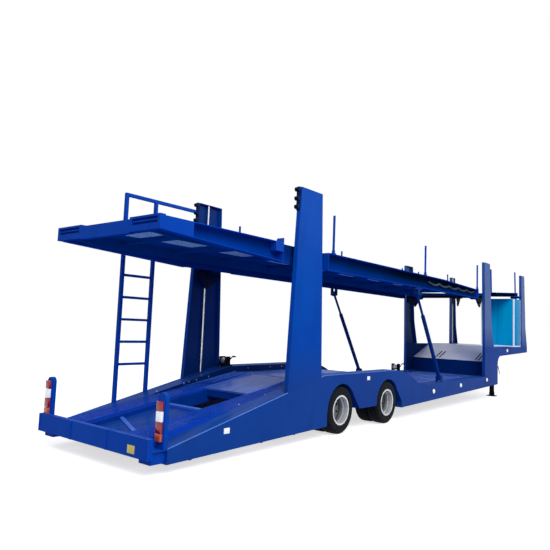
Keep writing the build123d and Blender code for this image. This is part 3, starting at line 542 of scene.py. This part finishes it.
mesh = bmesh.new()
for side in sides:
    for station, height in marker_places:
        rod(mesh, (along(station), side * half_width, height),
            (along(station), side * (half_width + base_depth), height), base_radius, 20)
    for station in (0.7, 2.1, 2.9):
        cuboid(mesh, (along(station), side * (half_width - mark_inset), mark_foot + mark_climb * station), mark_size,
               edge=0.003)
piece(mesh, "marker_bases", black, "chassis")


# Tail: lens strips on the lamp boards, and a blank plate
board_y = half_width - 0.08
strip_width, strip_gap, strip_depth = 0.10, 0.006, 0.045
back_depth, back_proud, back_margin = 0.008, 0.018, 0.02
lens_places = ((-1, along(0.25), 0.40), (1, along(0.09), 0.45))
lens_rows = (("amber", 0.095, amber_lens), ("red_low", 0.13, red_lens), ("white", 0.125, white_lens_painted_glow),
             ("red_high", 0.115, red_lens))
above = 0.0
for name, tall, skin in lens_rows:
    mesh = bmesh.new()
    for side, x, low in lens_places:
        cuboid(mesh, (x - strip_depth / 2, side * board_y, low + above + tall / 2),
               (strip_depth, strip_width, tall), edge=0.006)
    piece(mesh, f"lamp_{name}", skin, "chassis")
    above += tall + strip_gap

mesh = bmesh.new()
for side, x, low in lens_places:
    cuboid(mesh, (x - back_depth / 2, side * board_y, low + above / 2),
           (back_depth, strip_width + back_proud, above + back_margin), edge=0.002)
piece(mesh, "lamp_backs", blue, "chassis")

plate_place, plate_size = (along(0.009), -0.93, 0.30), (0.006, 0.14, 0.1)
mesh = bmesh.new()
cuboid(mesh, plate_place, plate_size, edge=0.002)
piece(mesh, "tail_plate", plate_yellow, "chassis")


# Winches on the left side beam: X, height of the base and size of each. Their parts are shares of the size
winch_y = half_width - 0.13
winch_places = ((along(3.7), 1.05, 0.12), (along(11.05), 0.67, 0.15))
cheek_share, shaft_share, reach_share, crank_share = 0.6, 0.8, 0.9, 1.5
rope_turns, rope_half, rope_pitch, rope_share, rope_tip = 8, 0.007, 0.14, 0.52, 0.5


def winch(mesh, x, y, base, size):
    """Drum's shaft between two cheeks on a foot plate, with a crank."""
    shaft_high, crank_high, reach = base + shaft_share * size, base + crank_share * size, reach_share * size
    cuboid(mesh, (x, y, base + 0.01), (2.2 * size, 1.5 * size, 0.02), edge=0.004)
    for cheek in sides:
        cuboid(mesh, (x, y + cheek * cheek_share * size, base + 0.75 * size), (1.3 * size, 0.014, 1.5 * size),
               edge=0.004)
    rod(mesh, (x, y - reach, shaft_high), (x, y + reach, shaft_high), 0.018)
    rod(mesh, (x, y - reach, shaft_high), (x + reach, y - reach, crank_high), 0.012)
    rod(mesh, (x + reach, y - reach, crank_high), (x + reach, y - crank_share * size, crank_high), 0.016)


mesh = bmesh.new()
for x, base, size in winch_places:
    winch(mesh, x, winch_y, base, size)
piece(mesh, "winch_frames", black, "chassis")

mesh = bmesh.new()
for x, base, size in winch_places:
    z = base + shaft_share * size
    for turn in range(rope_turns):
        y = winch_y + (turn - (rope_turns - 1) / 2) * size * rope_pitch
        rod(mesh, (x, y - rope_half, z), (x, y + rope_half, z), rope_share * size, 20, rope_tip * size)
piece(mesh, "winch_ropes", rope_zinc, "chassis")


# Cabinet: doors and side panels, white corner strips that are painted highlights on its rounded corners, with a lip
# round the foot, handles
cabinet_low, cabinet_high = (Vector(corner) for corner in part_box("cabinet"))
middle_x, middle_y, middle_z = ((low + high) / 2 for low, high in zip(cabinet_low, cabinet_high))
length_x, length_y, length_z = (high - low for low, high in zip(cabinet_low, cabinet_high))
door_gap, door_thickness, panel_thickness, door_margin = 0.012, 0.014, 0.012, 0.12
strip_inset, strip_size, strip_trim, corner_inset, lip, lip_proud = 0.045, 0.044, 0.02, 0.018, 0.03, 0.02
mesh = bmesh.new()
reach = length_y / 2 - strip_inset - 1.5 * door_gap
for door in sides:
    cuboid(mesh, (cabinet_low.x - door_thickness / 2, middle_y + door * (reach / 2 + door_gap / 2), middle_z),
           (door_thickness, reach, length_z - door_margin), edge=0.006)
for side, y in ((-1, cabinet_low.y), (1, cabinet_high.y)):
    cuboid(mesh, (middle_x, y + side * panel_thickness / 2, middle_z),
           (length_x - 2 * strip_inset - 2 * door_gap, panel_thickness, length_z - door_margin), edge=0.005)
piece(mesh, "cabinet_doors", enamel, "chassis")

# white corner strips: painted highlights on the cabinet's rounded corners
mesh = bmesh.new()
for x in (cabinet_low.x, cabinet_high.x):
    for y in (cabinet_low.y, cabinet_high.y):
        inward_x, inward_y = math.copysign(corner_inset, middle_x - x), math.copysign(corner_inset, middle_y - y)
        cuboid(mesh, (x + inward_x, y + inward_y, middle_z), (strip_size, strip_size, length_z - strip_trim),
               edge=0.008)
cuboid(mesh, (middle_x, middle_y, cabinet_low.z + lip / 2), (length_x + lip_proud, length_y + lip_proud, lip),
       edge=0.004)
piece(mesh, "cabinet_highlight_strips", white_lens_painted_glow, "chassis")

handle_proud, handle_y, handle_size = 0.018, 0.05, (0.012, 0.02, 0.12)
mesh = bmesh.new()
for door in sides:
    cuboid(mesh, (cabinet_low.x - handle_proud, middle_y + door * handle_y, middle_z), handle_size, edge=0.004)
piece(mesh, "cabinet_handles", enamel, "chassis")


# Rear masts: a bracket with three sheaves at the top rear edge
bracket_x, bracket_top, bracket_inset = along(2.87), 4.15, 0.05
bracket_size, sheave_radius, sheave_half, sheave_behind = (0.05, 0.06, 0.4), 0.036, 0.04, 0.055
mesh = bmesh.new()
for side in sides:
    y = side * (half_width - bracket_inset)
    cuboid(mesh, (bracket_x - bracket_size[0] / 2, y, bracket_top - bracket_size[2] / 2), bracket_size, edge=0.01)
    for drop in (0.05, 0.2, 0.34):
        x, z = bracket_x - sheave_behind, bracket_top - drop
        rod(mesh, (x, y - sheave_half, z), (x, y + sheave_half, z), sheave_radius, 20)
piece(mesh, "sheave_brackets", navy, "chassis")

# Carriages: a pulley and a bolt head on the pin of each gusset
pulley_radius, pulley_width, pin_above_foot = 0.085, 0.014, 0.06
bolt_radius, bolt_width = 0.024, 0.006
for name, body, face in (("hinge_carriages", "chassis", 0.996), ("rear_carriages", "rear_carriages", 1.141),
                         ("front_carriages", "front_carriages", 0.996)):
    low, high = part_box(name)
    x, z = (low[0] + high[0]) / 2, low[2] + pin_above_foot
    mesh = bmesh.new()
    for side in sides:
        rod(mesh, (x, side * face, z), (x, side * (face + pulley_width), z), pulley_radius, 28)
    piece(mesh, f"{name}_pulleys", navy, body)
    mesh = bmesh.new()
    for side in sides:
        rod(mesh, (x, side * (face + pulley_width), z), (x, side * (face + pulley_width + bolt_width), z),
            bolt_radius, 12)
    piece(mesh, f"{name}_bolts", rope_zinc, body)

# Hoses draped in the channels of the upper side beams
drape_rear, drape_step, drape_count, drape_runs = 8.3, 0.62, 5, 8
drape_y, drape_top, drape_sag, hose_radius = 1.085, 3.06, 0.05, 0.026
mesh = bmesh.new()
for side in sides:
    for bay in range(drape_count):
        start = drape_rear + bay * drape_step
        knots = [(along(start + drape_step * i / drape_runs), side * drape_y,
                  drape_top - drape_sag * (1 - (2 * i / drape_runs - 1) ** 2)) for i in range(drape_runs + 1)]
        for first, second in zip(knots, knots[1:]):
            rod(mesh, first, second, hose_radius, 8)
piece(mesh, "draped_hoses", hose_grey, "upper_deck")

# Masts: two columns of bolts on each outer face, with none where the middle masts hold the hinge
rows, row_shift, rear_foot_rise, hinge_low, hinge_high = 6, 0.04, 0.16, 2.6, 3.3
column_ahead, column_behind, head_radius, head_root, head_proud = 0.20, 0.27, 0.012, 0.013, 0.001
mesh = bmesh.new()
for mast in ("rear_mast", "mid_mast", "front_mast"):
    for side, name in zip(sides, side_names):
        low, high = (Vector(corner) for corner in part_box(f"{mast}_{name}"))
        foot = low.z + rear_foot_rise if mast == "rear_mast" else low.z
        for step in range(1, rows):
            z = foot + (high.z - foot) * step / rows + row_shift
            if mast == "mid_mast" and hinge_low < z < hinge_high:
                continue
            for x in (low.x + column_ahead, high.x - column_behind):
                rod(mesh, (x, side * (half_width + head_proud), z), (x, side * (half_width - head_root), z),
                    head_radius, 8)
piece(mesh, "mast_bolts", blue, "chassis")


# Landing legs: gearbox and crank on the right leg, a block and a pin over each foot
leg_low, leg_high = (Vector(corner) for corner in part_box("landing_legs"))
leg_x, leg_y, shaft_z, foot_z, pin_z, pin_half = (leg_low.x + leg_high.x) / 2, 0.95, 0.9, 0.05, 0.1, 0.08
gearbox_size, gearbox_out, shaft_out, shaft_end, crank_out = (0.16, 0.04, 0.2), 0.085, 0.1, 0.2, 0.19
crank_ahead, crank_down, foot_block = 0.13, 0.22, (0.13, 0.13, 0.06)
crank_y = -leg_y - crank_out
mesh = bmesh.new()
cuboid(mesh, (leg_x, -leg_y - gearbox_out, shaft_z), gearbox_size, edge=0.01)
rod(mesh, (leg_x, -leg_y - shaft_out, shaft_z), (leg_x, -leg_y - shaft_end, shaft_z), 0.014)
rod(mesh, (leg_x, crank_y, shaft_z), (leg_x + crank_ahead, crank_y, shaft_z - crank_down), 0.011)
for side in sides:
    cuboid(mesh, (leg_x, side * leg_y, foot_z), foot_block, edge=0.012)
    rod(mesh, (leg_x, side * (leg_y - pin_half), pin_z), (leg_x, side * (leg_y + pin_half), pin_z), 0.016)
piece(mesh, "leg_gear", black, "chassis")


# Wheels: grooved tyres in place of the plain ones, bolts and hub caps, dark wells, hand holes drawn as dark discs of
# painted shade.
# The sections of a tyre and of a well are (distance along the axle, radius) points
axle_height = 0.42
outer_wheel, dual_pitch = 1.108, 0.28
tread = ((-0.122, 0.262), (-0.114, 0.256), (-0.102, 0.2482), (0.102, 0.2482), (0.114, 0.256), (0.122, 0.262),
         (0.1235, 0.285), (0.1255, 0.288), (0.124, 0.31), (0.124, 0.345), (0.1265, 0.349), (0.123, 0.372),
         (0.112, 0.398), (0.100, 0.412), (0.086, 0.4175), (0.062, 0.419), (0.059, 0.409), (0.049, 0.409),
         (0.046, 0.4195), (0.018, 0.42), (0.015, 0.409), (0.005, 0.409), (0.002, 0.42), (-0.026, 0.42),
         (-0.029, 0.409), (-0.039, 0.409), (-0.042, 0.4195), (-0.060, 0.419), (-0.063, 0.409), (-0.070, 0.409),
         (-0.073, 0.4185), (-0.086, 0.4175), (-0.100, 0.412), (-0.112, 0.398), (-0.123, 0.372), (-0.1265, 0.349),
         (-0.124, 0.345), (-0.124, 0.31), (-0.1255, 0.288), (-0.1235, 0.285))
rim_well = ((1.135, 0.2345), (1.128, 0.2245), (1.062, 0.2225), (1.062, 0.2345))
wheel_steps, lug_every, lug_near, lug_far, lug_radius, lug_edge, lug_depth = 72, 3, 0.09, 0.119, 0.395, 0.002, 0.009
dish_y, dish_slope, cone_run = 0.982, 0.571, 0.042
spoke_count, nut_circle, nut_high, nut_radius = 10, 0.137, 0.026, 0.0155
bolt_high, shank_radius, shank_tip = 0.042, 0.010, 0.008
cap_y, cap_high, cap_radius, cap_tip, knob_end, knob_radius, knob_tip = 1.052, 0.03, 0.07, 0.055, 0.037, 0.03, 0.024
hole_circle, hole_radius, hole_sink, hole_proud = 0.202, 0.025, 0.006, 0.0015


def spokes(shift):
    """Directions outward from the axle, evenly spaced round a wheel."""
    turns = [math.tau * (i + shift) / spoke_count for i in range(spoke_count)]
    return [Vector((math.cos(turn), 0.0, math.sin(turn))) for turn in turns]


def is_lug(face, axle_x):
    """Whether a face of a tyre lies on its shoulder where a gap between lugs is pressed in."""
    middle = face.calc_center_median()
    ahead, above = middle.x - axle_x, middle.z - axle_height
    across = min(abs(abs(middle.y) - outer_wheel), abs(abs(middle.y) - outer_wheel + dual_pitch))
    step = int((math.atan2(above, ahead) + math.tau) / math.tau * wheel_steps)
    return lug_near < across < lug_far and math.hypot(above, ahead) > lug_radius and step % lug_every == 0


for axle in (1, 2):
    for side, side_name in zip(sides, side_names):
        low, high = (Vector(corner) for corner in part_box(f"rims_{axle}_{side_name}"))
        axle_x = (low.x + high.x) / 2
        wheel = f"wheel_{axle}_{side_name}"
        outward = Vector((0.0, side, 0.0))
        mesh = bmesh.new()
        for centre_y in (outer_wheel, outer_wheel - dual_pitch):
            revolve(mesh, tread, Vector((axle_x, side * centre_y, axle_height)), wheel_steps)
        lugs = [face for face in mesh.faces if is_lug(face, axle_x)]
        bmesh.ops.inset_individual(mesh, faces=lugs, thickness=lug_edge, depth=-lug_depth)
        tyres = piece(mesh, f"grooved_tyres_{axle}_{side_name}", tyre_rubber, wheel)
        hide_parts(f"tyres_{axle}_{side_name}")

        mesh = bmesh.new()
        for out in spokes(0):
            foot = Vector((axle_x, side * dish_y, axle_height)) + nut_circle * out
            nut_top = foot + outward * nut_high
            rod(mesh, foot, nut_top, nut_radius, 6)
            rod(mesh, nut_top, foot + outward * bolt_high, shank_radius, 8, shank_tip)
        cap = Vector((axle_x, side * cap_y, axle_height))
        rod(mesh, cap, cap + outward * cap_high, cap_radius, 24, cap_tip)
        rod(mesh, cap + outward * cap_high, cap + outward * knob_end, knob_radius, 16, knob_tip)
        piece(mesh, f"wheel_bolts_{axle}_{side_name}", plain_steel, wheel)

        mesh = bmesh.new()
        revolve(mesh, [(side * w, r) for w, r in rim_well], Vector((axle_x, 0.0, axle_height)), wheel_steps)
        piece(mesh, f"rim_well_{axle}_{side_name}", wheel_silver, wheel)

        mesh = bmesh.new()
        for out in spokes(0.5):
            face_way = (outward - dish_slope * out).normalized()
            spot = Vector((axle_x, side * (dish_y + cone_run * dish_slope), axle_height)) + hole_circle * out
            rod(mesh, spot - hole_sink * face_way, spot + hole_proud * face_way, hole_radius, 16)
        piece(mesh, f"hand_holes_{axle}_{side_name}", painted_slot_shade, wheel)


# Springs: clamps round the leaves. Brakes: a chamber ahead of each axle, with its rod and lever
spring_y, clamp_foot, clamp_top, clamp_ahead, clamp_across = 0.5, 0.33, 0.58, 0.075, 0.055
clamp_plate_z, clamp_plate = 0.335, (0.2, 0.15, 0.02)
brake_y, chamber_rear, chamber_front, chamber_high, chamber_radius = 0.28, 0.16, 0.33, 0.47, 0.075
push_rod_rear, push_rod_high, lever_ahead, lever_high, lever_size = 0.06, 0.45, 0.02, 0.44, (0.1, 0.03, 0.06)
mesh = bmesh.new()
for axle in (1, 2):
    low, high = (Vector(corner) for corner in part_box(f"axle_{axle}"))
    x = (low.x + high.x) / 2
    for side in sides:
        for dx in (-clamp_ahead, clamp_ahead):
            for dy in (-clamp_across, clamp_across):
                y = side * spring_y + dy
                rod(mesh, (x + dx, y, clamp_foot), (x + dx, y, clamp_top), 0.009)
        cuboid(mesh, (x, side * spring_y, clamp_plate_z), clamp_plate, edge=0.004)
        y = side * brake_y
        rod(mesh, (x + chamber_rear, y, chamber_high), (x + chamber_front, y, chamber_high), chamber_radius, 20)
        rod(mesh, (x + push_rod_rear, y, push_rod_high), (x + chamber_rear, y, chamber_high), 0.012)
        cuboid(mesh, (x + lever_ahead, y, lever_high), lever_size, edge=0.006)
piece(mesh, "spring_clamps", black, "chassis")


# Upper deck: mesh and frames in the windows, a bar in each end slot, the stanchions' sockets
window_half, window_length, window_pitch, window_start, window_count = 0.34, 0.70, 1.29, 1.25, 8
window_rears = [window_start + i * window_pitch for i in range(window_count)]
windows = [(0.55, 0.90)] + [(rear, rear + window_length) for rear in window_rears]
window_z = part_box("upper_floor")[1][2] - 0.012
grid_cells, grid_half, wire, frame_width, frame_depth = 20, 0.6, 0.02, 0.02, 0.03
mesh = bmesh.new()
for rear, front in windows:
    grid = bmesh.new()
    bmesh.ops.create_grid(grid, x_segments=grid_cells, y_segments=grid_cells, size=grid_half,
                          matrix=Matrix.Rotation(math.radians(45), 4, "Z"))
    half = Vector(((front - rear) / 2, window_half, 0))
    for way in (Vector((1, 0, 0)), Vector((-1, 0, 0)), Vector((0, 1, 0)), Vector((0, -1, 0))):
        bmesh.ops.bisect_plane(grid, geom=grid.verts[:] + grid.edges[:] + grid.faces[:],
                               plane_co=way * abs(way.dot(half)), plane_no=way, clear_outer=True)
    bmesh.ops.wireframe(grid, faces=grid.faces[:], thickness=wire, use_replace=True, use_boundary=True,
                        use_even_offset=True)
    bmesh.ops.translate(grid, verts=grid.verts[:], vec=(along((rear + front) / 2), 0, window_z))
    sheet = bpy.data.meshes.new("window")
    grid.to_mesh(sheet)
    grid.free()
    mesh.from_mesh(sheet)
    bpy.data.meshes.remove(sheet)
piece(mesh, "window_mesh", mesh_zinc, "upper_deck")

mesh = bmesh.new()
for rear, front in windows:
    for x in (rear, front):
        cuboid(mesh, (along(x), 0, window_z), (frame_width, 2 * window_half + frame_width, frame_depth))
    for side in sides:
        cuboid(mesh, (along((rear + front) / 2), side * window_half, window_z),
               (front - rear, frame_width, frame_depth))
piece(mesh, "window_frames", blue, "upper_deck")

end_bar_x, end_bar_z, end_bar_inner, end_bar_outer, end_bar_radius = along(0.06), 3.125, 0.63, 1.12, 0.013
mesh = bmesh.new()
for side in sides:
    rod(mesh, (end_bar_x, side * end_bar_inner, end_bar_z), (end_bar_x, side * end_bar_outer, end_bar_z),
        end_bar_radius)
piece(mesh, "end_slot_bars", blue, "upper_deck")

stanchion_y, socket_foot, collar_high, knob_low, knob_high = 1.155, (0.1, 0.06, 0.02), 0.07, 0.688, 0.7
mesh = bmesh.new()
for side in sides:
    for station, foot in ((4.0, 3.18), (7.93, 3.18), (11.44, 3.113)):
        x, y = along(station), side * stanchion_y
        cuboid(mesh, (x, y, foot + socket_foot[2] / 2), socket_foot, edge=0.004)
        rod(mesh, (x, y, foot), (x, y, foot + collar_high), 0.03, 16)
        rod(mesh, (x, y, foot + knob_low), (x, y, foot + knob_high), 0.0235, 16, 0.018)
piece(mesh, "stanchion_sockets", blue, "upper_deck")


# Camera: place and turns fitted to the photograph, whose frame is square
camera_place = Vector((-12.349, -6.566, 1.846))
yaw, pitch, roll = math.radians(39.15), math.radians(5.34), math.radians(2.26)
focal_pixels, frame_pixels, sensor = 553.8, 550, 36.0
forward = Vector((math.cos(yaw) * math.cos(pitch), math.sin(yaw) * math.cos(pitch), math.sin(pitch)))
level = Vector((math.sin(yaw), -math.cos(yaw), 0.0))
upright = level.cross(forward)
to_right = level * math.cos(roll) + upright * math.sin(roll)
to_top = upright * math.cos(roll) - level * math.sin(roll)
camera_turn = Matrix((to_right, to_top, -forward)).transposed().to_4x4()
lens_data = bpy.data.cameras.new("camera")
lens_data.sensor_width = sensor
lens_data.lens = focal_pixels / frame_pixels * sensor
lens_data.clip_end = 500
camera = bpy.data.objects.new("camera", lens_data)
camera.matrix_world = Matrix.Translation(camera_place) @ camera_turn
bpy.context.scene.collection.objects.link(camera)
bpy.context.scene.camera = camera

# Floor and sky: near white to the camera and in reflections, duller as light on the trailer
white, floor_glow, sky_strength, floor_half, floor_drop = (1.0, 1.0, 1.0, 1.0), 0.66, 0.5, 120, 0.002
ground = Finish("pale_floor")
lit = ground.node("ShaderNodeBsdfDiffuse", None, {"Color": srgb(240, 240, 240)})
glow = ground.node("ShaderNodeEmission", None, {"Color": white, "Strength": floor_glow})
dull = ground.node("ShaderNodeBsdfDiffuse", None, {"Color": srgb(150, 164, 192)})
shown = ground.node("ShaderNodeAddShader", None, {0: lit, 1: glow})
floor_mix = ground.node("ShaderNodeMixShader", None, {0: ground.looked_at(), 1: dull, 2: shown})
ground.node("ShaderNodeOutputMaterial", None, {"Surface": floor_mix})
floor_mesh = bmesh.new()
bmesh.ops.create_grid(floor_mesh, x_segments=1, y_segments=1, size=floor_half,
                      matrix=Matrix.Translation((0, 0, -floor_drop)))
floor_data = bpy.data.meshes.new("floor")
floor_mesh.to_mesh(floor_data)
floor_mesh.free()
floor_data.materials.append(ground.material)
floor = bpy.data.objects.new("floor", floor_data)
bpy.context.scene.collection.objects.link(floor)

sky = Finish("studio", bpy.data.worlds)
bpy.context.scene.world = sky.material
soft = sky.node("ShaderNodeBackground", None, {"Strength": sky_strength})
bright = sky.node("ShaderNodeBackground", None, {"Color": white})
sky_mix = sky.node("ShaderNodeMixShader", None, {0: sky.looked_at(), 1: soft, 2: bright})
sky.node("ShaderNodeOutputWorld", None, {"Surface": sky_mix})

# Lights: three wide lamps that point at the ground under the trailer's middle
lamp_size = 12.0
for name, place, power in (("key_light", (-14.0, -16.0, 16.0), 2500), ("fill_light", (14.0, -14.0, 12.0), 900),
                           ("back_light", (-6.0, 18.0, 14.0), 800)):
    area = bpy.data.lights.new(name, "AREA")
    area.energy = power
    area.size = lamp_size
    aim = (-Vector(place)).to_track_quat("-Z", "Y").to_matrix().to_4x4()
    lamp = bpy.data.objects.new(name, area)
    lamp.matrix_world = Matrix.Translation(place) @ aim
    bpy.context.scene.collection.objects.link(lamp)

bpy.context.scene.view_settings.view_transform = "Standard"
